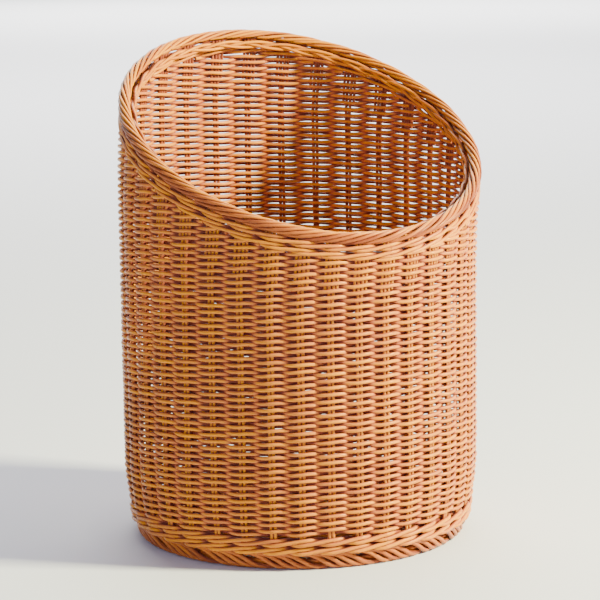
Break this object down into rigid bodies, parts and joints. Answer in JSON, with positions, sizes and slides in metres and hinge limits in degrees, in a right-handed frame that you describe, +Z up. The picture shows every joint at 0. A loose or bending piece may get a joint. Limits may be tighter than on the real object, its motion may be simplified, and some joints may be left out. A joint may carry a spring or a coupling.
{
  "type": "wastebasket",
  "caption": "Round woven cane wastebasket with an oblique mouth, a rolled rope-like border, see-through weave and an open plaited foot.",
  "frame": {"origin": "on the floor, at the centre of the round foot", "axes": "+Z up; +Y towards the high side of the oblique mouth; +X to the right as seen from the low side"},
  "size_m": [0.2902, 0.2902, 0.4022],
  "materials": {
    "stakes": "stained rattan cane under satin lacquer",
    "weaving": "stained rattan cane under satin lacquer",
    "borders": "stained rattan cane under satin lacquer",
    "base": "stained rattan cane under satin lacquer"
  },
  "bodies": {
    "root": {"stake_pair_01": "stakes", "stake_pair_02": "stakes", "stake_pair_03": "stakes", "stake_pair_04": "stakes", "stake_pair_05": "stakes", "stake_pair_06": "stakes", "stake_pair_07": "stakes", "stake_pair_08": "stakes", "stake_pair_09": "stakes", "stake_pair_10": "stakes", "stake_pair_11": "stakes", "stake_pair_12": "stakes", "stake_pair_13": "stakes", "stake_pair_14": "stakes", "stake_pair_15": "stakes", "stake_pair_16": "stakes", "stake_pair_17": "stakes", "stake_pair_18": "stakes", "stake_pair_19": "stakes", "stake_pair_20": "stakes", "stake_pair_21": "stakes", "stake_pair_22": "stakes", "stake_pair_23": "stakes", "stake_pair_24": "stakes", "stake_pair_25": "stakes", "stake_pair_26": "stakes", "stake_pair_27": "stakes", "stake_pair_28": "stakes", "stake_pair_29": "stakes", "stake_pair_30": "stakes", "stake_pair_31": "stakes", "stake_pair_32": "stakes", "stake_pair_33": "stakes", "stake_pair_34": "stakes", "foot_wale_1": "weaving", "foot_wale_2": "weaving", "weave_course_1": "weaving", "weave_course_2": "weaving", "weave_course_3": "weaving", "weave_course_4": "weaving", "weave_course_5": "weaving", "weave_course_6": "weaving", "weave_course_7": "weaving", "weave_course_8": "weaving", "weave_course_9": "weaving", "mouth_wale_upper": "weaving", "mouth_wale_lower": "weaving", "mouth_border": "borders", "mouth_plait": "borders", "foot_border": "borders", "base_spokes": "base", "base_weave_1": "base", "base_weave_2": "base", "base_weave_3": "base", "base_weave_4": "base"}
  },
  "joints": []
}
